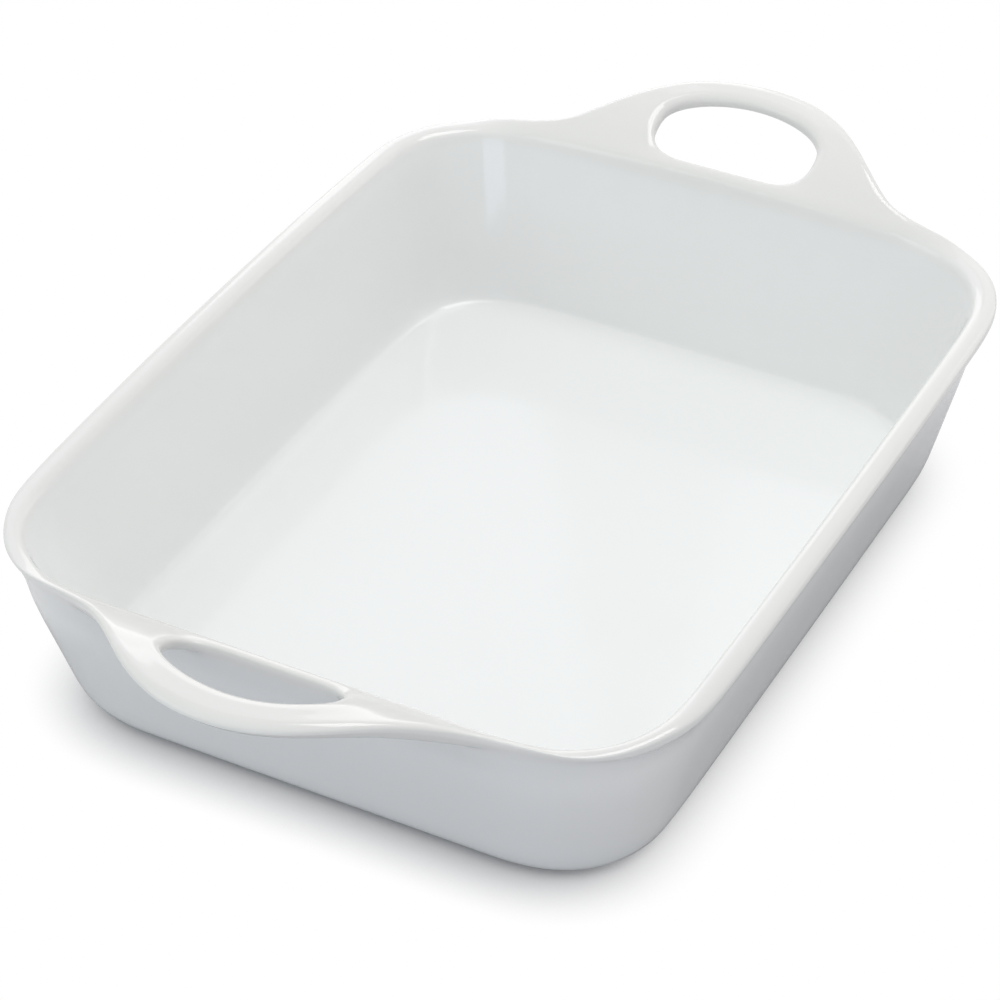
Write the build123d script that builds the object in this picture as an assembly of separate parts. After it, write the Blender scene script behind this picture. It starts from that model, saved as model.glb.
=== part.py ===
"""Rectangular lasagna dish of glazed white porcelain with two raised loop handles.

Frame: millimetres, +Z up, the long side along X, origin on the table under the middle of the dish.
The dish is fired as one body.  Its nodes follow the places where such a body is formed and finished:
foot_ring    the unglazed ring that it stands on
basin        the floor and the sloping walls
rim_lip      the turned-out lip that stiffens the top of the walls
near_handle  the raised loop on the short side at -X
far_handle   the raised loop on the short side at +X
Neighbouring nodes meet face to face, with no gap.
"""
from build123d import *
from math import atan2, cos, degrees, hypot, sin
import os

os.makedirs("parts", exist_ok=True)

# Rim, measured over the outside of the lip and across the middle of the bowed long sides
rim_length = 331.0
rim_width = 256.5
rim_height = 74.0
rim_corner_radius = 49.0
side_bow = 2.5
lip_width = 7.0
lip_depth = 5.5
lip_edge_radius = 2.4
mouth_bevel = 1.6

# Outer wall: a straight draft from the base, then a flare that turns out into the lip
flare_height = 22.0
flare_reach = 6.8
flare_corner_radius = 46.0
base_length = 288.0
base_width = 215.0
base_corner_radius = 40.0
base_edge_radius = 12.0

# Inside of the basin
floor_length = 279.0
floor_width = 206.0
floor_corner_radius = 45.0
floor_thickness = 7.5
floor_cove_radius = 7.0

# Unglazed foot ring under the base
foot_height = 1.0
foot_width = 6.0
foot_inset = 17.0

# Loop handles: a cambered band that springs from the inner edge of the lip
handle_reach = 44.5
handle_rise = 14.8
handle_camber = 5.0
handle_root_width = 192.0
handle_thickness = 6.5
handle_edge_radius = 2.6
handle_seat_depth = 3.5
root_lead_share = 0.5
tip_lead_share = 0.5

# Finger slot in each handle: what it leaves of the band, and its round ends
grip_width = 13.0
flank_width = 16.0
slot_setback = 0.5
slot_corner_radius = 10.0
slot_fullness_share = 0.58

# One overrun serves every cut
cut_overrun = 5.0

half_length = rim_length / 2
floor_top = foot_height + floor_thickness
lip_bottom = rim_height - lip_depth
flare_bottom = rim_height - flare_height
hinge_x = half_length - lip_width
seat_x = half_length - handle_seat_depth
tip_x = half_length + handle_reach
tolerance = lip_edge_radius / 100


def outline(height, length, width, corner_radius):
    """A rounded rectangle with bowed long sides, lying flat at the given height."""
    end_x = length / 2
    end_y = width / 2 - side_bow
    long_side = ThreePointArc((end_x, end_y), (0, width / 2), (-end_x, end_y))
    short_side = Line((-end_x, end_y), (-end_x, -end_y))
    face = make_face(long_side + short_side + mirror(long_side, Plane.XZ) + mirror(short_side, Plane.YZ))
    return Plane.XY.offset(height) * fillet(face.vertices(), corner_radius)


def flat_edges(solid, height):
    """The edges of a solid that lie wholly at one height."""
    boxes = [(edge, edge.bounding_box()) for edge in solid.edges()]
    return [edge for edge, box in boxes if abs(box.min.Z - height) < tolerance and box.size.Z < tolerance]


def outer_form():
    """The outside of the dish as one full block: drafted wall, flare and lip."""
    base = outline(foot_height, base_length, base_width, base_corner_radius)
    neck = outline(flare_bottom, rim_length - 2 * flare_reach, rim_width - 2 * flare_reach, flare_corner_radius)
    under_lip = outline(lip_bottom, rim_length, rim_width, rim_corner_radius)
    wall = loft([base, neck], ruled=True)
    wall = fillet(flat_edges(wall, foot_height), base_edge_radius)
    lip = extrude(under_lip, amount=lip_depth)
    lip = fillet(flat_edges(lip, rim_height), lip_edge_radius)
    return wall + loft([neck, under_lip], ruled=True) + lip


def cavity():
    """The space inside the walls: a cove where the floor turns up and a bevel at the mouth."""
    length = rim_length - 2 * lip_width
    width = rim_width - 2 * lip_width
    radius = rim_corner_radius - lip_width
    floor = outline(floor_top, floor_length, floor_width, floor_corner_radius)
    throat = outline(rim_height - mouth_bevel, length, width, radius)
    mouth = outline(rim_height, length + 2 * mouth_bevel, width + 2 * mouth_bevel, radius + mouth_bevel)
    well = loft([floor, throat], ruled=True)
    well = fillet(flat_edges(well, floor_top), floor_cove_radius)
    return well + loft([throat, mouth], ruled=True) + extrude(mouth, amount=cut_overrun)


def camber_band():
    """A slice of a tube across the dish whose top runs from the inner edge of the lip up to the tip."""
    run = lip_width + handle_reach
    chord = hypot(run, handle_rise)
    radius = chord ** 2 / (8 * handle_camber) + handle_camber / 2
    slope = atan2(handle_rise, run)
    drop = radius - handle_camber
    centre_x = hinge_x + run / 2 + drop * sin(slope)
    centre_z = rim_height + handle_rise / 2 - drop * cos(slope)
    ring = Circle(radius) - Circle(radius - handle_thickness)
    tube = extrude(Plane.XZ * ring, amount=handle_root_width / 2 + cut_overrun, both=True)
    return Pos(centre_x, 0, centre_z) * tube


def plan_prism(curves):
    """A plan outline raised through the height of a handle."""
    low = lip_bottom - handle_thickness
    face = Plane.XY.offset(low) * make_face(curves)
    return extrude(face, amount=rim_height + handle_rise + cut_overrun - low)


def handle_outline():
    """Seen from above: two S-curved flanks that leave the lip and meet at the tip of the loop."""
    root = handle_root_width / 2
    flank = Bezier((hinge_x, root), (hinge_x, root * (1 - root_lead_share)), (tip_x, root * tip_lead_share),
                   (tip_x, 0))
    return flank + mirror(flank, Plane.XZ) + Line((hinge_x, -root), (hinge_x, root))


def slot_outline():
    """The finger slot: straight along the lip, bowed on the outside, with round ends."""
    reach = handle_root_width * (4 - 3 * root_lead_share + 3 * tip_lead_share) / 16 - flank_width
    start = half_length + slot_setback
    shoulder = start + slot_corner_radius
    crown = tip_x - grip_width
    bow = Bezier((shoulder, reach), (shoulder + (crown - shoulder) * slot_fullness_share, reach),
                 (crown, reach * slot_fullness_share), (crown, 0))
    corner = CenterArc((shoulder, reach - slot_corner_radius), slot_corner_radius, 90, 90)
    straight = Line((start, reach - slot_corner_radius), (start, slot_corner_radius - reach))
    return bow + mirror(bow, Plane.XZ) + corner + mirror(corner, Plane.XZ) + straight


def handle_loop():
    """The far handle: the cambered band cut to its outline, pierced by its slot, with round edges."""
    loop = (camber_band() & plan_prism(handle_outline())) - plan_prism(slot_outline())
    root = handle_root_width / 2 - tolerance
    edges = [edge for edge in loop.edges() if edge.geom_type != GeomType.LINE]
    rims = [edge for edge in edges if edge.center().X > hinge_x + tolerance and abs(edge.center().Y) < root]
    return fillet(rims, handle_edge_radius)


def seat_zone():
    """The space outside the seat plane, where the far handle leaves the lip."""
    height = lip_depth + handle_rise + cut_overrun
    box = Box(tip_x - seat_x + cut_overrun, handle_root_width, height, align=(Align.MIN, Align.CENTER, Align.MIN))
    return Pos(seat_x, 0, lip_bottom) * box


def foot():
    """The ring under the base."""
    ring = outline(0, base_length - 2 * foot_inset, base_width - 2 * foot_inset, base_corner_radius - foot_inset)
    inset = foot_inset + foot_width
    ring -= outline(0, base_length - 2 * inset, base_width - 2 * inset, base_corner_radius - inset)
    return extrude(ring, amount=foot_height)


loop = handle_loop()
dish = outer_form() + loop + mirror(loop, Plane.YZ) - cavity()
upper = Pos(0, 0, lip_bottom) * Box(2 * rim_length, 2 * rim_width, 2 * rim_height,
                                    align=(Align.CENTER, Align.CENTER, Align.MIN))
top = dish & upper
far_zone = seat_zone()
near_zone = mirror(far_zone, Plane.YZ)
nodes = {
    "foot_ring": foot(),
    "basin": dish - upper,
    "rim_lip": top - far_zone - near_zone,
    "near_handle": top & near_zone,
    "far_handle": top & far_zone,
}
for name, solid in nodes.items():
    export_step(solid, f"parts/{name}.step")
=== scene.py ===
"""Looks of a white porcelain lasagna dish with two loop handles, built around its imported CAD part.

The glazed body is modelled as one quarter: a grid for the underside, rings of wall extruded from it, and
the handle's arm extruded from the side of the lip.  The quarter is mirrored, its near end is drawn in a
little, and the whole is smoothed by subdivision and cut into the basin, the rim and the two handles,
which keep the shading of the one fired surface.
"""
from math import cos, hypot, radians, sin

import bmesh
import bpy
from bpy.props import FloatProperty, PointerProperty, StringProperty
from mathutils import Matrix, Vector


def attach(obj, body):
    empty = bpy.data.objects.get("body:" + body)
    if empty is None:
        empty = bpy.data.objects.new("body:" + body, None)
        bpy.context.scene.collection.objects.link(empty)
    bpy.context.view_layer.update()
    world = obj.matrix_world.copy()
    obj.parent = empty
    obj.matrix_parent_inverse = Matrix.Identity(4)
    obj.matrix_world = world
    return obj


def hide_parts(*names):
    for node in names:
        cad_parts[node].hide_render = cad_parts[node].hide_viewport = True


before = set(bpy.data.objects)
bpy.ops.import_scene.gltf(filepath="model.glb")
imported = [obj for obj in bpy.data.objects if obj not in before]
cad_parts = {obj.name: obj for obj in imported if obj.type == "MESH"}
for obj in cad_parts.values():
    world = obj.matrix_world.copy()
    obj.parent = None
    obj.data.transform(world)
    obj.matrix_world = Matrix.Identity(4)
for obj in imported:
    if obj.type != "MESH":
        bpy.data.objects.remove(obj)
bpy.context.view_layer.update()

bl_info = {
    "name": "Lasagna Dish Looks",
    "version": (1, 0, 0),
    "blender": (4, 5, 0),
    "location": "3D View > Sidebar > Lasagna Dish",
    "description": "Builds the glazed dish, its unglazed foot and the stage they stand on",
    "category": "Add Mesh",
}

MM = 0.001


def length(label, about, millimetres):
    """A length that the user may change, written here in millimetres and kept in metres."""
    return FloatProperty(name=label, description=about, default=millimetres * MM, min=0, unit="LENGTH",
                         subtype="DISTANCE")


def hex_text(label, about, value):
    """A colour that the user may change, written as sRGB hex."""
    return StringProperty(name=label, description=about, default=value)


class DishSizes(bpy.types.PropertyGroup):
    """The sizes that shape the glazed body and its foot."""

    rim_length: length("Rim length", "Over the outside of the lip, end to end", 331.6)
    rim_width: length("Rim width", "Over the outside of the lip, at the ends of the long sides", 251)
    rim_height: length("Rim height", "Top of the lip at the middle of the long sides", 74.1)
    end_dip: length("End dip", "How much lower the rim lies at its ends", 3.2)
    rim_corner: length("Rim corner", "Reach of the rounded rim corner", 54)
    side_bow: length("Side bow", "How far the long sides bow out", 2.5)
    end_bow: length("End bow", "How far the mouth bows out at its ends", 1.7)
    lip_width: length("Lip width", "Inner wall to the outside of the lip", 7.3)
    lip_depth: length("Lip depth", "Height of the lip's outer side along the long sides", 4.8)
    lip_depth_end: length("Lip depth at the ends", "Height of the lip's outer side at the ends", 2.8)
    base_length: length("Base length", "Sharp-cornered length of the base", 288)
    base_width: length("Base width", "Sharp-cornered width of the base", 217.5)
    base_corner: length("Base corner", "Reach of the rounded base corner", 44)
    neck_drop: length("Neck drop", "Top of the rim to where the flare begins", 22)
    neck_inset: length("Neck inset", "How far the wall stands inside the lip there", 6.8)
    floor_length: length("Floor length", "Sharp-cornered length of the floor", 279)
    floor_width: length("Floor width", "Sharp-cornered width of the floor", 206.6)
    floor_corner: length("Floor corner", "Reach of the rounded floor corner", 44)
    floor_height: length("Floor height", "Cooking surface above the table", 8.7)
    foot_height: length("Foot height", "How far the foot ring lifts the base", 1)
    foot_inset: length("Foot inset", "How far the foot ring stands inside the base", 17)
    foot_width: length("Foot width", "Across the foot ring", 6)
    handle_reach: length("Handle reach", "Tip of the handle beyond the rim", 44.4)
    handle_rise: length("Handle rise", "Grip of the handle above the ends of the rim", 17.9)
    corner_lift: length("Corner lift", "How far the lip turns up round its corners", 1.8)
    near_draw: length("Near draw", "How far the near corners of the lip were drawn in by the fire", 2)
    slot_crown_draw: length("Slot crown draw", "How far the near grip stands further in than the far one", 2)
    slot_end_draw: length("Slot end draw", "How much shorter the near slot is at its -Y end", 3.2)
    mouth_lift: length("Mouth lift", "How far the mouth lifts beside a handle", 0.6)
    handle_thickness: length("Handle thickness", "Top to bottom of the loop", 6.5)


class GlazeColours(bpy.types.PropertyGroup):
    """The colours of the fired surfaces."""

    glaze: hex_text("Glaze", "White glaze where it lies thick", "#F3F4F3")
    glaze_edge: hex_text("Glaze at edges", "Glaze drawn thin over the lip and the handles", "#ECECE9")
    glaze_pool: hex_text("Glaze in the cove", "Glaze gathered round the floor", "#F5F7F6")
    biscuit: hex_text("Biscuit", "Bare fired clay of the foot ring", "#DCD8D0")


class StageSizes(bpy.types.PropertyGroup):
    """The table and the camera's lens."""

    table: length("Table", "Side of the pale table", 6000)
    lens: FloatProperty(name="Lens", description="Focal length in millimetres", default=126.608, min=10)


# Points of a mesh that lie nearer to each other than this are one point
MERGE_DISTANCE = 0.01 * MM

# How square the rounded corners are, seen from above; a circle's power is 2
CORNER_POWER = 2.37

# Stations round a quarter: share of the straight end, turn of the corner, share of the straight side
QUARTER_TURN = 90
END_SHARES = (0, 0.1, 0.2, 0.3, 0.42, 0.5, 0.62, 0.76, 0.9, 1)
CORNER_TURNS = (7, 18, 29, 40, 50, 60, 71, 80, QUARTER_TURN)
SIDE_SHARES = (0.8, 0.6, 0.4, 0.2, 0)
STATIONS = (
    [(end, 0, 1) for end in END_SHARES]
    + [(1, turn, 1) for turn in CORNER_TURNS]
    + [(1, QUARTER_TURN, side) for side in SIDE_SHARES]
)
LAST_STATION = len(STATIONS) - 1

# The station in the middle of the corner, where the floor's grid has its own corner
CORNER_STATION = 14

# Rings between the base and the neck, and between the mouth and the floor, by their share of the way
OUTER_PARTS = {"wall_low": 0.3, "wall_middle": 0.64}
INNER_PARTS = {"throat": 0.04, "inside_high": 0.13, "inside_upper": 0.3, "inside_middle": 0.5, "cove": 0.85}

# Where the other rings stand beside the sizes that a user may change
UNDERSIDE_INSET = 16 * MM
NECK_CORNER_LOSS = 4 * MM
FLARE_PART = 0.52
FLARE_INSET = 1.3 * MM
UNDER_LIP_END_INSET = 0.9 * MM
UNDER_LIP_SIDE_INSET = 2.4 * MM
UNDER_LIP_DROP = 1.2 * MM
LIP_BULGE = 0.2 * MM
CROWN_INSET = 3.9 * MM
MOUTH_DROP = 0.6 * MM
FLOOR_INSET = 9 * MM

# The cove at the floor's ends, which is tighter than along its sides
TIGHT_COVE_PART = 0.97
TIGHT_FLOOR_INSET = 1.8 * MM

# Share of the end bow that each ring takes
END_BOWS = {"lip_crown": 0.4, "mouth": 1, "throat": 1, "inside_high": 1, "inside_upper": 0.8,
            "inside_middle": 0.4}

# How far each ring is drawn in along the long sides, where the wall turns out to the lip
SIDE_DRAWS = {"throat": 0.9 * MM, "inside_high": 1.6 * MM, "inside_upper": 0.7 * MM}

# Share of the near draw that each ring takes
NEAR_DRAWS = {"flare": 0.4, "lip_under": 0.8, "lip_bottom": 1, "lip_side": 1, "lip_top": 1, "lip_crown": 0.5}

# The ramps below name where a change begins and where it is full.  "Along" is measured in x and "across"
# in y from the middle of the dish.
# The ends of the rim into its long sides, as shares of half its width
SIDE_RAMP = (0.84, 0.97)
# The rim into the handle's plate, and into the lift of the mouth beside it
HANDLE_ACROSS = (112 * MM, 80 * MM)
MOUTH_LIFT_ACROSS = (95 * MM, 35 * MM)
# The lip turned up round its corners
CORNER_ALONG = (112 * MM, 142 * MM)
CORNER_ACROSS = (70 * MM, 95 * MM)
# The lip drawn in round the near corners
NEAR_ALONG = (105 * MM, 145 * MM)
NEAR_ACROSS = (66 * MM, 90 * MM)
# The crease under the lip of the long sides
CREASE_ALONG = (140 * MM, 95 * MM)
# The near slot's crown, beyond the rim, and its -Y end
SLOT_CROWN_BEYOND = (0, 26 * MM)
SLOT_END_ACROSS = (8 * MM, 32 * MM)
# The lip's own depth into the thickness of the plate, by how far the plate has risen
PLATE_RISEN = (0, 9 * MM)

# The wall's start under the lip, and how much of that drop the crease takes up
UNDER_LIP_START = 2.2 * MM
CREASE_LIFT = 2 * MM

# Share of the corner's lift that the crown of the lip takes
CROWN_LIFT_SHARE = 0.45

# Height of the lip's fullest line, and the rounding of its edges, which is stronger below a handle
LIP_SIDE_SHARE = 0.55
EDGE_ROUNDING = 1.3 * MM
LOWER_ROUNDING = 1.6

# The three rings of the lip's outer side, and the stations between which the handle's arm is drawn from it
LIP_SIDE_RINGS = ("lip_bottom", "lip_side", "lip_top")
ARM_FIRST = 4
ARM_LAST = 10

# Where each row of the arm crosses the slot (turn about its widest point) and the outline (share of its curve)
SLOT_TURNS = (-45, -22, -5, 8, 22, 36, 50, 64, 77, 90)
OUTLINE_SHARES = (0.86, 0.79, 0.71, 0.62, 0.53, 0.43, 0.325, 0.215, 0.105, 0)

# The slot seen from above: its widest point beyond the rim, half its length, and the squareness and reach
# of its side by the lip and of its crown
SLOT_WIDEST = 14.2 * MM
SLOT_HALF_LENGTH = 32.3 * MM
SLOT_INNER = (4.1, 14.4 * MM)
SLOT_CROWN = (1.88, 16.9 * MM)

# The arm's outer edge seen from above: its waist, beyond the rim and across, and the ends of its two leads
WAIST = (-3 * MM, 89 * MM)
TIP_LEAD_ACROSS = 45 * MM
WAIST_LEAD_ACROSS = 52.5 * MM

# The stretch at the tip over which the plate is level, the width that its rounded edges hold, at most a
# share of the whole, and the share of its thickness that it keeps at the outer edge
LEVEL_STRETCH = 4.5 * MM
ARM_EDGE = 3.4 * MM
ARM_EDGE_SHARE = 0.27
OUTER_THICKNESS = 0.74


def ramp(value, start, full):
    """Rises from 0 at its start to 1 where it is full, with level ends."""
    part = min(max((value - start) / (full - start), 0), 1)
    return part * part * (3 - 2 * part)


def rounded(value, power):
    """The sine or cosine of a turn, made squarer or rounder by a power; 2 leaves it as it is."""
    return max(value, 0) ** (2 / power)


def outline_point(station, half_length, half_width, corner, bow):
    """A station's point on a quarter of a rounded rectangle whose long sides bow out."""
    end, turn, side = STATIONS[station]
    x = side * (half_length - corner) + corner * rounded(cos(radians(turn)), CORNER_POWER)
    y = end * (half_width - corner) + corner * rounded(sin(radians(turn)), CORNER_POWER)
    return x, y + bow * (1 - (x / half_length) ** 2)


def between(low, high, part):
    """The tuple of values that lies a part of the way from low to high."""
    return tuple(a + (b - a) * part for a, b in zip(low, high))


def shrunk(level, inset):
    """A level's outline drawn in by an inset, at the same height."""
    half_x, half_y, corner, height, bow = level
    return half_x - inset, half_y - inset, corner - inset, height, bow


def lowered(level, drop):
    """A level moved down."""
    half_x, half_y, corner, height, bow = level
    return half_x, half_y, corner, height - drop, bow


def wall_levels(size):
    """The rings from the underside up the outside, over the lip and down to the floor.

    Each is half its length, half its width, the reach of its corners, its height and its bow.  The rings
    of the lip's side take their heights from lip_point.
    """
    half_x, half_y = size.rim_length / 2, size.rim_width / 2
    top, corner, bow = size.rim_height, size.rim_corner, size.side_bow
    inset, width = size.neck_inset, size.lip_width
    base = (size.base_length / 2, size.base_width / 2, size.base_corner, size.foot_height, 0)
    neck = (half_x - inset, half_y - inset, corner - NECK_CORNER_LOSS, top - size.neck_drop, bow)
    under = (half_x - UNDER_LIP_END_INSET, half_y - UNDER_LIP_SIDE_INSET, corner,
             top - size.lip_depth - UNDER_LIP_DROP, bow)
    lip = (half_x, half_y, corner, top, bow)
    mouth = (half_x - width, half_y - width, corner - width, top, bow)
    floor = (size.floor_length / 2, size.floor_width / 2, size.floor_corner, size.floor_height, 0)
    return {
        "underside": shrunk(base, UNDERSIDE_INSET),
        "base_edge": base,
        **{name: between(base, neck, part) for name, part in OUTER_PARTS.items()},
        "neck": neck,
        "flare": shrunk(between(neck, under, FLARE_PART), FLARE_INSET),
        "lip_under": under,
        "lip_bottom": lip,
        "lip_side": shrunk(lip, -LIP_BULGE),
        "lip_top": lip,
        "lip_crown": shrunk(lip, CROWN_INSET),
        "mouth": lowered(mouth, MOUTH_DROP),
        **{name: between(mouth, floor, part) for name, part in INNER_PARTS.items()},
        "floor_edge": floor,
        "floor": shrunk(floor, FLOOR_INSET),
    }


def cove_level(levels, name, station):
    """The level that the cove or the floor has at a station: tight at the ends, wider along the sides."""
    if name == "cove":
        tight = between(levels["mouth"], levels["floor_edge"], TIGHT_COVE_PART)
    else:
        tight = shrunk(levels["floor_edge"], TIGHT_FLOOR_INSET)
    turn = STATIONS[station][1]
    return between(tight, levels[name], ramp(turn, 0, QUARTER_TURN))


def outline_curve(size, part):
    """A point of the handle's outer edge: 0 at its tip, 1 at its waist beside the rim corner."""
    tip, waist = Vector((size.handle_reach, 0)), Vector(WAIST)
    lead, tail = Vector((tip.x, TIP_LEAD_ACROSS)), Vector((waist.x, WAIST_LEAD_ACROSS))
    rest = 1 - part
    point = tip * rest ** 3 + lead * 3 * rest * rest * part + tail * 3 * rest * part * part + waist * part ** 3
    return size.rim_length / 2 + point.x, point.y


def slot_curve(size, turn):
    """A point of the finger slot: -90 beside the lip, 0 at its round end, 90 at its crown."""
    power, reach = SLOT_INNER if turn < 0 else SLOT_CROWN
    side = -1 if turn < 0 else 1
    x = SLOT_WIDEST + side * reach * rounded(abs(sin(radians(turn))), power)
    return size.rim_length / 2 + x, SLOT_HALF_LENGTH * rounded(cos(radians(turn)), power)


def rim_top(size, x):
    """Height of the rim: highest at the middle of the long sides, a little lower at the ends."""
    return size.rim_height - size.end_dip * (x / (size.rim_length / 2)) ** 2


def plate_run(size, x):
    """How far along its run a point of the handle's plate lies: 0 at the mouth, 1 where it turns level."""
    run = size.handle_reach + size.lip_width - LEVEL_STRETCH
    return min(max((x - size.rim_length / 2 + size.lip_width) / run, 0), 1)


def plate_rise(size, x, y):
    """How far the handle's plate stands above the rim: steep beside the mouth, level at the grip."""
    rest = 1 - plate_run(size, x)
    lift = size.mouth_lift * ramp(y, *MOUTH_LIFT_ACROSS)
    return lift * rest + size.handle_rise * (1 - rest * rest) * ramp(y, *HANDLE_ACROSS)


def plate_depth(size, x):
    """The plate's thickness measured straight down, which grows where the plate is steep."""
    slope = 2 * size.handle_rise / size.handle_reach * (1 - plate_run(size, x))
    return size.handle_thickness * hypot(1, slope)


def side_share(size, y):
    """0 at the ends of the dish and 1 along its long sides."""
    return ramp(y / (size.rim_width / 2), *SIDE_RAMP)


def lip_height(size, y):
    """Height of the lip's outer side, which grows from the ends to the long sides."""
    return size.lip_depth_end + (size.lip_depth - size.lip_depth_end) * side_share(size, y)


def corner_rise(size, x, y):
    """How far the lip's outer edge turns up round the corners, past the handles."""
    return size.corner_lift * ramp(x, *CORNER_ALONG) * ramp(y, *CORNER_ACROSS)


def ring_point(size, levels, name, station):
    """Where a station of a ring lies."""
    level = cove_level(levels, name, station) if name in ("cove", "floor") else levels[name]
    half_x, half_y, corner, height, bow = level
    x, y = outline_point(station, half_x, half_y, corner, bow)
    x += END_BOWS.get(name, 0) * size.end_bow * ramp(y, half_y, 0)
    y -= SIDE_DRAWS.get(name, 0) * side_share(size, y)
    if name in LIP_SIDE_RINGS:
        if station == ARM_FIRST:
            x, y = slot_curve(size, SLOT_TURNS[0])
        return lip_point(size, name, x, y, not ARM_FIRST < station < ARM_LAST)
    if name == "lip_under":
        crease = side_share(size, y) * ramp(x, *CREASE_ALONG)
        lip_bottom = lip_point(size, "lip_bottom", x, y, False)[2]
        return x, y, lip_bottom - UNDER_LIP_START + CREASE_LIFT * crease
    rim_drop = rim_top(size, x) - size.rim_height
    height += rim_drop * ramp(height, size.floor_height, size.floor_height + size.rim_height)
    if name in ("lip_crown", "mouth"):
        height += plate_rise(size, x, y)
    if name == "lip_crown":
        height += corner_rise(size, x, y) * CROWN_LIFT_SHARE
    return x, y, height


def lip_point(size, name, x, y, is_edge, thinning=1):
    """A point on the lip's outer side, or on the side of the arm, by its ring's name; edges are rounded."""
    rise = plate_rise(size, x, y)
    part = ramp(rise, *PLATE_RISEN)
    depth = lip_height(size, y) * (1 - part) + plate_depth(size, x) * part * thinning
    rounding = EDGE_ROUNDING if is_edge else 0
    drops = {"lip_top": rounding, "lip_side": depth * LIP_SIDE_SHARE,
             "lip_bottom": depth - LOWER_ROUNDING * rounding * part}
    height = rim_top(size, min(x, size.rim_length / 2)) + rise + corner_rise(size, x, y)
    return x, y, height - drops[name]


def arm_point(size, name, row, column):
    """Where a column of a row of the arm lies, between the slot and the outline."""
    start = Vector(slot_curve(size, SLOT_TURNS[row]))
    stop = Vector(outline_curve(size, OUTLINE_SHARES[row]))
    last = ARM_LAST - ARM_FIRST
    width = (stop - start).length
    edge = min(ARM_EDGE, width * ARM_EDGE_SHARE)
    if column == 0:
        along = 0
    elif column == last:
        along = width
    else:
        along = edge + (width - 2 * edge) * (column - 1) / (last - 2)
    point = start.lerp(stop, along / width)
    thinning = OUTER_THICKNESS if column == last else 1
    return lip_point(size, name, point.x, point.y, column in (0, last), thinning)


def edit_mesh(piece):
    """The piece's mesh while it is in edit mode."""
    return bmesh.from_edit_mesh(piece.data)


def labels(mesh):
    """The number layers that say which station, ring and row a vertex was made for."""
    layers = mesh.verts.layers.int
    return [layers.get(name) or layers.new(name) for name in ("station", "ring", "row")]


def grid_step(value, count):
    """The column or row that a vertex of a grid of size 1 stands in."""
    return round((value + 0.5) * count)


def add_patch(piece, outline, height):
    """Adds a quarter grid in edit mode and fits it inside an outline, which its outer border then follows."""
    columns, rows = LAST_STATION - CORNER_STATION, CORNER_STATION
    bpy.ops.mesh.select_all(action="DESELECT")
    bpy.ops.mesh.primitive_grid_add(x_subdivisions=columns, y_subdivisions=rows, size=1)
    mesh = edit_mesh(piece)
    station_of, ring_of, _ = labels(mesh)
    far_x, far_y = outline(0)[0], outline(LAST_STATION)[1]
    corner = Vector(outline(CORNER_STATION))
    for vertex in [v for v in mesh.verts if v.select]:
        i, j = grid_step(vertex.co.x, columns), grid_step(vertex.co.y, rows)
        u, v = i / columns, j / rows
        right = Vector(outline(j))
        top = Vector(outline(LAST_STATION - i))
        bottom, left = Vector((far_x * u, 0)), Vector((0, far_y * v))
        corners = Vector((far_x, 0)) * u * (1 - v) + Vector((0, far_y)) * v * (1 - u) + corner * u * v
        point = bottom * (1 - v) + top * v + left * (1 - u) + right * u - corners
        vertex.co = (point.x, point.y, height)
        vertex[station_of] = -1
        vertex[ring_of] = -1
        if i == columns:
            vertex[station_of] = j
        elif j == rows:
            vertex[station_of] = LAST_STATION - i
    bmesh.update_edit_mesh(piece.data)


def select_border(piece):
    """Selects the patch's outer border, ready to be extruded into walls."""
    bpy.ops.mesh.select_mode(type="EDGE")
    bpy.ops.mesh.select_all(action="DESELECT")
    mesh = edit_mesh(piece)
    station_of = labels(mesh)[0]
    for edge in mesh.edges:
        if edge.is_boundary and all(v[station_of] >= 0 for v in edge.verts):
            edge.select_set(True)
    bmesh.update_edit_mesh(piece.data)


def extrude_ring(piece, number, row, place):
    """Extrudes what is selected and puts each new vertex where its station, ring and row say."""
    bpy.ops.mesh.extrude_region()
    mesh = edit_mesh(piece)
    station_of, ring_of, row_of = labels(mesh)
    for vertex in mesh.verts:
        if vertex.select:
            if number is not None:
                vertex[ring_of] = number
            vertex[row_of] = row
            vertex.co = place(vertex[station_of], vertex[ring_of])
    bmesh.update_edit_mesh(piece.data)


def model_quarter(size):
    """One quarter of the glazed body, modelled from its underside up and round to its floor."""
    levels = wall_levels(size)
    names = list(levels)
    bpy.ops.object.select_all(action="DESELECT")
    bpy.ops.mesh.primitive_plane_add(size=1)
    piece = bpy.context.object
    bpy.ops.object.mode_set(mode="EDIT")
    bpy.ops.mesh.delete(type="VERT")
    add_patch(piece, lambda s: ring_point(size, levels, "underside", s)[:2], size.foot_height)
    select_border(piece)
    for number, name in enumerate(names[1:], start=1):
        extrude_ring(piece, number, 0, lambda s, n, name=name: ring_point(size, levels, name, s))
    add_patch(piece, lambda s: ring_point(size, levels, "floor", s)[:2], size.floor_height)
    bpy.ops.mesh.select_all(action="SELECT")
    bpy.ops.mesh.remove_doubles(threshold=MERGE_DISTANCE)
    extrude_arm(piece, size, names)
    mark_zones(piece, names)
    bpy.ops.object.mode_set(mode="OBJECT")
    return piece


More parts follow.
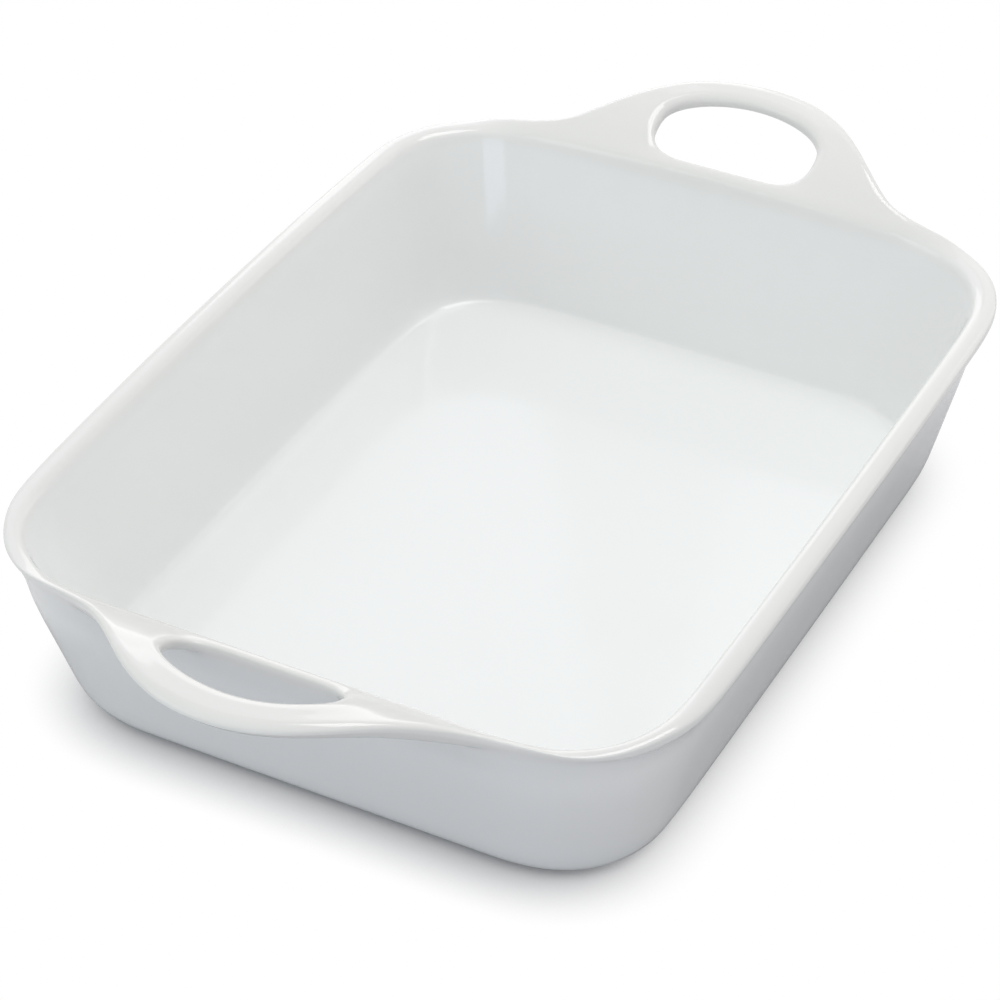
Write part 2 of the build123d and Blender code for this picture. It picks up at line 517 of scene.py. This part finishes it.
def extrude_arm(piece, size, names):
    """Draws the handle's arm out of the lip's side, row by row, to the middle of its grip."""
    side_rings = [names.index(name) for name in LIP_SIDE_RINGS]
    bpy.ops.mesh.select_mode(type="FACE")
    bpy.ops.mesh.select_all(action="DESELECT")
    mesh = edit_mesh(piece)
    station_of, ring_of, _ = labels(mesh)
    for face in mesh.faces:
        if all(v[ring_of] in side_rings and ARM_FIRST <= v[station_of] <= ARM_LAST for v in face.verts):
            face.select_set(True)
    bmesh.update_edit_mesh(piece.data)
    for row in range(1, len(SLOT_TURNS)):
        extrude_ring(piece, None, row, lambda s, n: arm_point(size, names[n], row, s - ARM_FIRST))
    bpy.ops.mesh.delete(type="FACE")


def apply_modifier(piece, kind, **settings):
    """Adds a modifier with its settings and applies it."""
    bpy.ops.object.modifier_add(type=kind)
    modifier = piece.modifiers[-1]
    for name, value in settings.items():
        setattr(modifier, name, value)
    bpy.ops.object.modifier_apply(modifier=modifier.name)


ZONES = ("basin", "rim_lip", "arm")


def mark_zones(piece, names):
    """Notes on each face whether it belongs to the basin, the lip or a handle's arm."""
    mesh = edit_mesh(piece)
    _, ring_of, row_of = labels(mesh)
    zone_of = mesh.faces.layers.int.get("zone") or mesh.faces.layers.int.new("zone")
    lip_rings = range(names.index("lip_bottom"), names.index("inside_high") + 1)
    for face in mesh.faces:
        if any(v[row_of] > 0 for v in face.verts):
            face[zone_of] = ZONES.index("arm")
        elif all(v[ring_of] in lip_rings for v in face.verts):
            face[zone_of] = ZONES.index("rim_lip")
    bmesh.update_edit_mesh(piece.data)


def whole_body(size):
    """The whole glazed body as one smooth mesh, whose parts are cut from it afterwards."""
    piece = model_quarter(size)
    apply_modifier(piece, "MIRROR", use_axis=(True, True, False), merge_threshold=MERGE_DISTANCE)
    draw_near_end(piece, size)
    apply_modifier(piece, "SUBSURF", levels=2, render_levels=2)
    bpy.ops.object.mode_set(mode="EDIT")
    bpy.ops.mesh.select_all(action="SELECT")
    bpy.ops.mesh.normals_make_consistent(inside=False)
    bpy.ops.object.mode_set(mode="OBJECT")
    bpy.ops.object.shade_smooth()
    return piece


def draw_near_end(piece, size):
    """Draws the lip in round the near corners, as the fire did, and makes the near slot a little smaller."""
    rings = list(wall_levels(size))
    bpy.ops.object.mode_set(mode="EDIT")
    mesh = edit_mesh(piece)
    station_of, ring_of, _ = labels(mesh)
    for vertex in mesh.verts:
        x, y, _ = vertex.co
        if x >= 0 or vertex[ring_of] < 0:
            continue
        ring = rings[vertex[ring_of]]
        drawn = NEAR_DRAWS.get(ring, 0) * ramp(-x, *NEAR_ALONG) * ramp(abs(y), *NEAR_ACROSS)
        vertex.co += Vector((-x, -y, 0)).normalized() * size.near_draw * drawn
        if ring in LIP_SIDE_RINGS and vertex[station_of] in (ARM_FIRST, ARM_FIRST + 1):
            inward = size.slot_crown_draw * ramp(-x - size.rim_length / 2, *SLOT_CROWN_BEYOND)
            shorter = size.slot_end_draw * ramp(-y, *SLOT_END_ACROSS)
            vertex.co += Vector((inward, shorter, 0))
    bmesh.update_edit_mesh(piece.data)
    bpy.ops.object.mode_set(mode="OBJECT")


def border_loops(mesh):
    """The closed loops of open border edges."""
    waiting = {edge for edge in mesh.edges if edge.is_boundary}
    loops = []
    while waiting:
        loop, front = set(), [waiting.pop()]
        while front:
            edge = front.pop()
            loop.add(edge)
            for vertex in edge.verts:
                found = [e for e in vertex.link_edges if e in waiting]
                waiting.difference_update(found)
                front.extend(found)
        loops.append(loop)
    return loops


# A border loop wider than this runs round the wall, and a narrower one round an arm's root
WALL_LOOP_WIDTH = 100 * MM


def close_cuts(piece):
    """Closes a cut part: the wall's two cut rings are bridged and each arm's root is filled."""
    bpy.ops.object.mode_set(mode="EDIT")
    bpy.ops.mesh.select_mode(type="EDGE")
    bpy.ops.mesh.select_all(action="DESELECT")
    mesh = edit_mesh(piece)
    rings = []
    for loop in border_loops(mesh):
        reach = [vertex.co.x for edge in loop for vertex in edge.verts]
        if max(reach) - min(reach) > WALL_LOOP_WIDTH:
            rings.append(loop)
    for ring in rings:
        for edge in ring:
            edge.select_set(True)
    bmesh.update_edit_mesh(piece.data)
    if rings:
        bpy.ops.mesh.bridge_edge_loops()
    bpy.ops.mesh.select_all(action="SELECT")
    bpy.ops.mesh.fill_holes(sides=0)
    bpy.ops.mesh.select_all(action="SELECT")
    bpy.ops.mesh.normals_make_consistent(inside=False)
    bpy.ops.object.mode_set(mode="OBJECT")


def place_key(point):
    """A point in steps of the merge distance, to find the same place in another mesh."""
    return tuple(round(value / MERGE_DISTANCE) for value in point)


def cut_part(whole, name, wanted):
    """A closed part of the glazed body, shaded as the whole is so that no seam shows where it was cut."""
    skin = zip(whole.data.vertices, whole.data.vertex_normals)
    normals = {place_key(vertex.co): normal.vector.copy() for vertex, normal in skin}
    part = whole.copy()
    part.data = whole.data.copy()
    part.name = part.data.name = name
    bpy.context.scene.collection.objects.link(part)
    bpy.ops.object.select_all(action="DESELECT")
    part.select_set(True)
    bpy.context.view_layer.objects.active = part
    bpy.ops.object.mode_set(mode="EDIT")
    bpy.ops.mesh.select_mode(type="FACE")
    bpy.ops.mesh.select_all(action="DESELECT")
    mesh = edit_mesh(part)
    zone_of = mesh.faces.layers.int.get("zone")
    for face in mesh.faces:
        face.select_set(not wanted(ZONES[face[zone_of]], face.calc_center_median()))
    bmesh.update_edit_mesh(part.data)
    bpy.ops.mesh.delete(type="FACE")
    bpy.ops.object.mode_set(mode="OBJECT")
    kept = len(part.data.polygons)
    close_cuts(part)
    shown = []
    for face in part.data.polygons:
        for corner in face.loop_indices:
            at = part.data.vertices[part.data.loops[corner].vertex_index].co
            shown.append(normals[place_key(at)] if face.index < kept else face.normal.copy())
    part.data.normals_split_custom_set(shown)
    return part


def linear(text):
    """An sRGB hex colour as the linear colour that a shader takes."""
    values = [int(text[i:i + 2], 16) / 255 for i in (1, 3, 5)]
    return [v / 12.92 if v <= 0.04045 else ((v + 0.055) / 1.055) ** 2.4 for v in values] + [1]


# Sockets of a Mix node that mixes colours, which share their names with its other kinds of socket
MIX_FACTOR, MIX_LOW, MIX_HIGH, MIX_RESULT = 0, 6, 7, 2


def add_node(tree, kind, settings=None, values=(), **inputs):
    """Adds a node; inputs are set or linked by name, with _ for a space, or by number through values."""
    made = tree.nodes.new(kind)
    for name, value in (settings or {}).items():
        setattr(made, name, value)
    numbered = values.items() if isinstance(values, dict) else enumerate(values)
    named = [(name.replace("_", " "), value) for name, value in inputs.items()]
    for key, value in [*numbered, *named]:
        if isinstance(value, bpy.types.NodeSocket):
            tree.links.new(value, made.inputs[key])
        else:
            made.inputs[key].default_value = value
    return made


def new_material(name):
    """An empty node material and its tree."""
    material = bpy.data.materials.new(name)
    material.use_nodes = True
    material.node_tree.nodes.clear()
    return material, material.node_tree


def glaze_material(colours):
    """Glossy white feldspar glaze, dipped and fired over porcelain.

    It gives the eye a clean white with sharp reflections, slightly wavy where the glaze flowed, a little
    greyer and warmer where it drew thin over the lip and the handles, and lighter where it gathered round
    the floor.
    """
    drift_size, wave_size, peel_size = 70 * MM, 38 * MM, 5 * MM
    wave_depth, peel_depth = 0.16 * MM, 0.006 * MM
    thin_from, thin_full = 65 * MM, 74 * MM
    pool_from, pool_full = 30 * MM, 7 * MM
    material, tree = new_material("white_feldspar_glaze")
    at = add_node(tree, "ShaderNodeTexCoord").outputs["Object"]
    height = add_node(tree, "ShaderNodeSeparateXYZ", Vector=at).outputs["Z"]
    drift = add_node(tree, "ShaderNodeTexNoise", Vector=at, Scale=1 / drift_size, Detail=2.0, Roughness=0.5)
    thin = add_node(tree, "ShaderNodeMapRange", {"interpolation_type": "SMOOTHSTEP"}, Value=height,
                    From_Min=thin_from, From_Max=thin_full)
    pool = add_node(tree, "ShaderNodeMapRange", {"interpolation_type": "SMOOTHSTEP"}, Value=height,
                    From_Min=pool_from, From_Max=pool_full)
    uneven = add_node(tree, "ShaderNodeMapRange", Value=drift.outputs["Fac"], From_Min=0.35, From_Max=0.65,
                      To_Min=0.75, To_Max=1)
    pooled = add_node(tree, "ShaderNodeMath", {"operation": "MULTIPLY"},
                      values=(pool.outputs["Result"], uneven.outputs["Result"]))
    body = add_node(tree, "ShaderNodeMix", {"data_type": "RGBA"},
                    values={MIX_FACTOR: pooled.outputs[0], MIX_LOW: linear(colours.glaze),
                            MIX_HIGH: linear(colours.glaze_pool)})
    colour = add_node(tree, "ShaderNodeMix", {"data_type": "RGBA"},
                      values={MIX_FACTOR: thin.outputs["Result"], MIX_LOW: body.outputs[MIX_RESULT],
                              MIX_HIGH: linear(colours.glaze_edge)})
    flow = add_node(tree, "ShaderNodeTexNoise", Vector=at, Scale=1 / wave_size, Detail=1.0, Roughness=0.4)
    peel = add_node(tree, "ShaderNodeTexNoise", Vector=at, Scale=1 / peel_size, Detail=1.5, Roughness=0.5)
    waves = add_node(tree, "ShaderNodeBump", Strength=1.0, Distance=wave_depth, Height=flow.outputs["Fac"])
    skin = add_node(tree, "ShaderNodeBump", Strength=1.0, Distance=peel_depth, Height=peel.outputs["Fac"],
                    Normal=waves.outputs["Normal"])
    gloss = add_node(tree, "ShaderNodeMapRange", Value=drift.outputs["Fac"], From_Min=0.3, From_Max=0.7,
                     To_Min=0.06, To_Max=0.1)
    shader = add_node(tree, "ShaderNodeBsdfPrincipled", Base_Color=colour.outputs[MIX_RESULT], IOR=1.5,
                      Roughness=gloss.outputs["Result"], Normal=skin.outputs["Normal"])
    add_node(tree, "ShaderNodeOutputMaterial", Surface=shader.outputs[0])
    return material


def biscuit_material(colours):
    """Bare fired porcelain clay, ground flat on a wheel.

    It gives the eye a matt, slightly creamy ring with a fine sandy grain, against the gloss above it.
    """
    grain_size, grain_depth = 0.6 * MM, 0.05 * MM
    material, tree = new_material("bare_porcelain_biscuit")
    at = add_node(tree, "ShaderNodeTexCoord").outputs["Object"]
    grain = add_node(tree, "ShaderNodeTexNoise", Vector=at, Scale=1 / grain_size, Detail=3.0, Roughness=0.6)
    tone = add_node(tree, "ShaderNodeMapRange", Value=grain.outputs["Fac"], From_Min=0.3, From_Max=0.7,
                    To_Min=0.85, To_Max=1)
    colour = add_node(tree, "ShaderNodeHueSaturation", Value=tone.outputs["Result"],
                      Color=linear(colours.biscuit))
    sand = add_node(tree, "ShaderNodeBump", Strength=0.6, Distance=grain_depth, Height=grain.outputs["Fac"])
    shader = add_node(tree, "ShaderNodeBsdfPrincipled", Base_Color=colour.outputs[0], Roughness=0.85, IOR=1.5,
                      Normal=sand.outputs["Normal"])
    add_node(tree, "ShaderNodeOutputMaterial", Surface=shader.outputs[0])
    return material


def dress(piece, material, slot, *nodes):
    """Gives a finished piece its material and its body, and hides the nodes it stands for; slot is not used.
    """
    piece.data.materials.clear()
    piece.data.materials.append(material)
    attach(piece, "root")
    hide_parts(*nodes)


class GlazedBody(bpy.types.Operator):
    """Models the glazed body and cuts it into the basin, the rim and the two handles."""

    bl_idname = "dish.glazed_body"
    bl_label = "Glazed body"

    def execute(self, context):
        size = context.scene.dish_sizes
        whole = whole_body(size)
        glaze = glaze_material(context.scene.dish_colours)
        parts = {
            "basin": lambda zone, centre: zone == "basin",
            "rim_lip": lambda zone, centre: zone == "rim_lip",
            "near_handle": lambda zone, centre: zone == "arm" and centre.x < 0,
            "far_handle": lambda zone, centre: zone == "arm" and centre.x > 0,
        }
        for node, wanted in parts.items():
            dress(cut_part(whole, "glazed_" + node, wanted), glaze, "glaze", node)
        bpy.data.objects.remove(whole)
        return {"FINISHED"}


# The foot ring's corners, the softening of its ground edges, and the angle past which an edge stays sharp
FOOT_CORNER = 40 * MM
FOOT_SOFTENING = 0.5 * MM
SHARP_ANGLE = 35


class FootRing(bpy.types.Operator):
    """Models the unglazed ring that the dish stands on."""

    bl_idname = "dish.foot_ring"
    bl_label = "Foot ring"

    def execute(self, context):
        size = context.scene.dish_sizes
        high, soft = size.foot_height, FOOT_SOFTENING
        outer, inner = size.foot_inset, size.foot_inset + size.foot_width
        base = (size.base_length / 2, size.base_width / 2, FOOT_CORNER, 0, 0)
        rings = [(outer, high), (outer, soft), (outer + soft, 0),
                 (inner - soft, 0), (inner, soft), (inner, high)]
        bpy.ops.object.select_all(action="DESELECT")
        bpy.ops.mesh.primitive_grid_add(x_subdivisions=LAST_STATION, y_subdivisions=len(rings), size=1)
        piece = context.object
        piece.name = piece.data.name = "bare_foot_ring"
        for vertex in piece.data.vertices:
            station = grid_step(vertex.co.x, LAST_STATION)
            inset, height = rings[grid_step(vertex.co.y, len(rings)) % len(rings)]
            half_x, half_y, corner, _, bow = shrunk(base, inset)
            vertex.co = (*outline_point(station, half_x, half_y, corner, bow), height)
        bpy.ops.object.mode_set(mode="EDIT")
        bpy.ops.mesh.select_all(action="SELECT")
        bpy.ops.mesh.remove_doubles(threshold=MERGE_DISTANCE)
        bpy.ops.object.mode_set(mode="OBJECT")
        apply_modifier(piece, "MIRROR", use_axis=(True, True, False), merge_threshold=MERGE_DISTANCE)
        bpy.ops.object.mode_set(mode="EDIT")
        bpy.ops.mesh.select_all(action="SELECT")
        bpy.ops.mesh.normals_make_consistent(inside=False)
        bpy.ops.object.mode_set(mode="OBJECT")
        bpy.ops.object.shade_smooth_by_angle(angle=radians(SHARP_ANGLE))
        dress(piece, biscuit_material(context.scene.dish_colours), "bare_foot", "foot_ring")
        return {"FINISHED"}


# Where each softbox hangs and its side, both in metres, its power in watts and its colour
LAMPS = {
    "overhead_softbox": ((0, 0, 1.5), 1.6, 1.8, "#FFFFFF"),
    "high_far_softbox": ((0.5, -0.15, 1.4), 0.6, 4.6, "#FFFFFF"),
    "low_far_softbox": ((1.25, 0.75, 0.45), 0.75, 1.7, "#FFFFFF"),
    "far_softbox": ((1.3, 0, 0.9), 0.9, 0.95, "#FBF7FF"),
    "far_left_softbox": ((0.95, 0.95, 0.95), 0.9, 1.25, "#ECE6FF"),
    "far_right_softbox": ((1.25, -0.7, 0.6), 0.7, 1.1, "#FFFFFF"),
    "near_left_softbox": ((-0.95, 0.95, 0.9), 0.9, 2.6, "#F1FFFB"),
    "near_softbox": ((-1.3, 0, 0.8), 0.9, 0.6, "#FFFFFF"),
    "low_near_softbox": ((-1.3, -0.3, 0.25), 0.5, 1.35, "#D2DFFF"),
}
LAMP_TARGET = Vector((0, 0, 40 * MM))

WHITE = "#FFFFFF"
PAPER = "#D2D2D4"

# The table lies this far under the foot ring
TABLE_GAP = 0.05 * MM

# The shadow on the table: how near the dish shades it, the direction that it looks up in, how open to the
# sky it is where the shadow begins and where it is full, and the power by which the shadow fades
SHADOW_REACH = 22 * MM
SHADOW_LOOK = (0.4, -0.1, 1)
SHADOW_BEGINS, SHADOW_FULL = 0.95, 0.1
SHADOW_FADE = 1.6

# The dish mirrors the lit paper inside an oval round it, and the white beyond: how much the oval is
# squeezed along the dish, and half its width where the white begins and where it is full, in metres
OVAL_SQUEEZE = (0.7, 1, 1)
WHITE_BEGINS, WHITE_FULL = 0.155, 0.2

# Strength of the room's light, and of its white as it is seen
ROOM_LIGHT = 0.545
ROOM_WHITE = 1.0

# The camera: its turn from the near end and its tilt in degrees, its distance and the point it looks at
CAMERA_TURN = -62.37
CAMERA_TILT = 36.954
CAMERA_DISTANCE = 1178.378 * MM
CAMERA_TARGET = Vector((-45.306, -16.023, 65.358)) * MM
CAMERA_CLIP = (0.01, 20)
SENSOR_WIDTH = 36


def softbox(name, place, side, power, colour):
    """A square area lamp at a place, turned to face the dish."""
    data = bpy.data.lights.new(name, "AREA")
    data.shape, data.size, data.energy, data.color = "SQUARE", side, power, linear(colour)[:3]
    lamp = bpy.data.objects.new(name, data)
    bpy.context.scene.collection.objects.link(lamp)
    lamp.location = place
    lamp.rotation_euler = (LAMP_TARGET - Vector(place)).to_track_quat("-Z", "Y").to_euler()


def backdrop_rays(tree, glossy_share=1):
    """1 for a ray that the viewer sees straight or through glass, a share in reflections, and 0 for light."""
    path = add_node(tree, "ShaderNodeLightPath").outputs
    glossy = add_node(tree, "ShaderNodeMath", {"operation": "MULTIPLY"},
                      values=(path["Is Glossy Ray"], glossy_share))
    seen = add_node(tree, "ShaderNodeMath", {"operation": "MAXIMUM"},
                    values=(path["Is Camera Ray"], glossy.outputs[0]))
    return add_node(tree, "ShaderNodeMath", {"operation": "MAXIMUM"},
                    values=(seen.outputs[0], path["Is Transmission Ray"])).outputs[0]


def table_material():
    """Matt white paper, rolled out under the dish.

    It gives the eye plain white with the dish's soft contact shadow, while the light that comes off it onto
    the dish is the paper's own.
    """
    material, tree = new_material("white_paper_table")
    paper = add_node(tree, "ShaderNodeBsdfDiffuse", Color=linear(PAPER))
    white = add_node(tree, "ShaderNodeEmission", Color=linear(WHITE), Strength=1.0)
    look = add_node(tree, "ShaderNodeCombineXYZ", values=SHADOW_LOOK)
    open_sky = add_node(tree, "ShaderNodeAmbientOcclusion", {"samples": 16}, Distance=SHADOW_REACH,
                        Normal=look.outputs[0])
    covered = add_node(tree, "ShaderNodeMapRange", Value=open_sky.outputs["AO"], From_Min=SHADOW_BEGINS,
                       From_Max=SHADOW_FULL)
    shade = add_node(tree, "ShaderNodeMath", {"operation": "POWER"}, values=(covered.outputs[0], SHADOW_FADE))
    seen = add_node(tree, "ShaderNodeMixShader",
                    values=(shade.outputs[0], white.outputs[0], paper.outputs[0]))
    at = add_node(tree, "ShaderNodeTexCoord").outputs["Object"]
    oval = add_node(tree, "ShaderNodeVectorMath", {"operation": "MULTIPLY"}, values=(at, OVAL_SQUEEZE))
    away = add_node(tree, "ShaderNodeVectorMath", {"operation": "LENGTH"}, values=(oval.outputs[0],))
    beyond = add_node(tree, "ShaderNodeMapRange", Value=away.outputs["Value"], From_Min=WHITE_BEGINS,
                      From_Max=WHITE_FULL)
    mixed = add_node(tree, "ShaderNodeMixShader",
                     values=(backdrop_rays(tree, beyond.outputs[0]), paper.outputs[0], seen.outputs[0]))
    add_node(tree, "ShaderNodeOutputMaterial", Surface=mixed.outputs[0])
    return material


def white_room():
    """The world: a room of plain white that lights the dish a little less than it is seen."""
    world = bpy.data.worlds.new("white_room")
    world.use_nodes = True
    tree = world.node_tree
    tree.nodes.clear()
    strength = add_node(tree, "ShaderNodeMapRange", Value=backdrop_rays(tree), To_Min=ROOM_LIGHT,
                        To_Max=ROOM_WHITE)
    sky = add_node(tree, "ShaderNodeBackground", Color=linear(WHITE), Strength=strength.outputs[0])
    add_node(tree, "ShaderNodeOutputWorld", Surface=sky.outputs[0])
    return world


def photographer(lens):
    """A camera that looks down on the near left end of the dish."""
    data = bpy.data.cameras.new("photographer")
    data.lens, data.sensor_width = lens, SENSOR_WIDTH
    data.clip_start, data.clip_end = CAMERA_CLIP
    camera = bpy.data.objects.new("photographer", data)
    bpy.context.scene.collection.objects.link(camera)
    turn, tilt = radians(CAMERA_TURN), radians(CAMERA_TILT)
    back = Vector((sin(turn) * cos(tilt), -cos(turn) * cos(tilt), sin(tilt)))
    camera.location = CAMERA_TARGET + back * CAMERA_DISTANCE
    camera.rotation_euler = (-back).to_track_quat("-Z", "Y").to_euler()
    return camera


class Stage(bpy.types.Operator):
    """Sets the pale table, the white surroundings, the softboxes and the camera."""

    bl_idname = "dish.stage"
    bl_label = "Stage"

    def execute(self, context):
        sizes = context.scene.dish_stage
        bpy.ops.object.select_all(action="DESELECT")
        bpy.ops.mesh.primitive_plane_add(size=sizes.table, location=(0, 0, -TABLE_GAP))
        table = context.object
        table.name = "stage_table"
        table.data.materials.append(table_material())
        for name, (place, side, power, colour) in LAMPS.items():
            softbox(name, place, side, power, colour)
        context.scene.world = white_room()
        context.scene.camera = photographer(sizes.lens)
        return {"FINISHED"}


class DishPanel(bpy.types.Panel):
    """Lists the steps that build the dish, with their sizes and colours."""

    bl_idname = "DISH_PT_build"
    bl_label = "Lasagna Dish"
    bl_space_type = "VIEW_3D"
    bl_region_type = "UI"
    bl_category = "Lasagna Dish"

    def draw(self, context):
        for step in STEPS:
            self.layout.operator(step.bl_idname)
        for group in (context.scene.dish_sizes, context.scene.dish_colours, context.scene.dish_stage):
            for name in group.__annotations__:
                self.layout.prop(group, name)


STEPS = (GlazedBody, FootRing, Stage)
GROUPS = {"dish_sizes": DishSizes, "dish_colours": GlazeColours, "dish_stage": StageSizes}


def register():
    for made in (*GROUPS.values(), *STEPS, DishPanel):
        bpy.utils.register_class(made)
    for name, group in GROUPS.items():
        setattr(bpy.types.Scene, name, PointerProperty(type=group))


def unregister():
    for name in GROUPS:
        delattr(bpy.types.Scene, name)
    for made in (DishPanel, *reversed(STEPS), *reversed(GROUPS.values())):
        bpy.utils.unregister_class(made)


def main():
    register()
    bpy.context.scene.view_settings.view_transform = "Standard"
    bpy.ops.dish.glazed_body()
    bpy.ops.dish.foot_ring()
    bpy.ops.dish.stage()


if __name__ == "__main__":
    main()
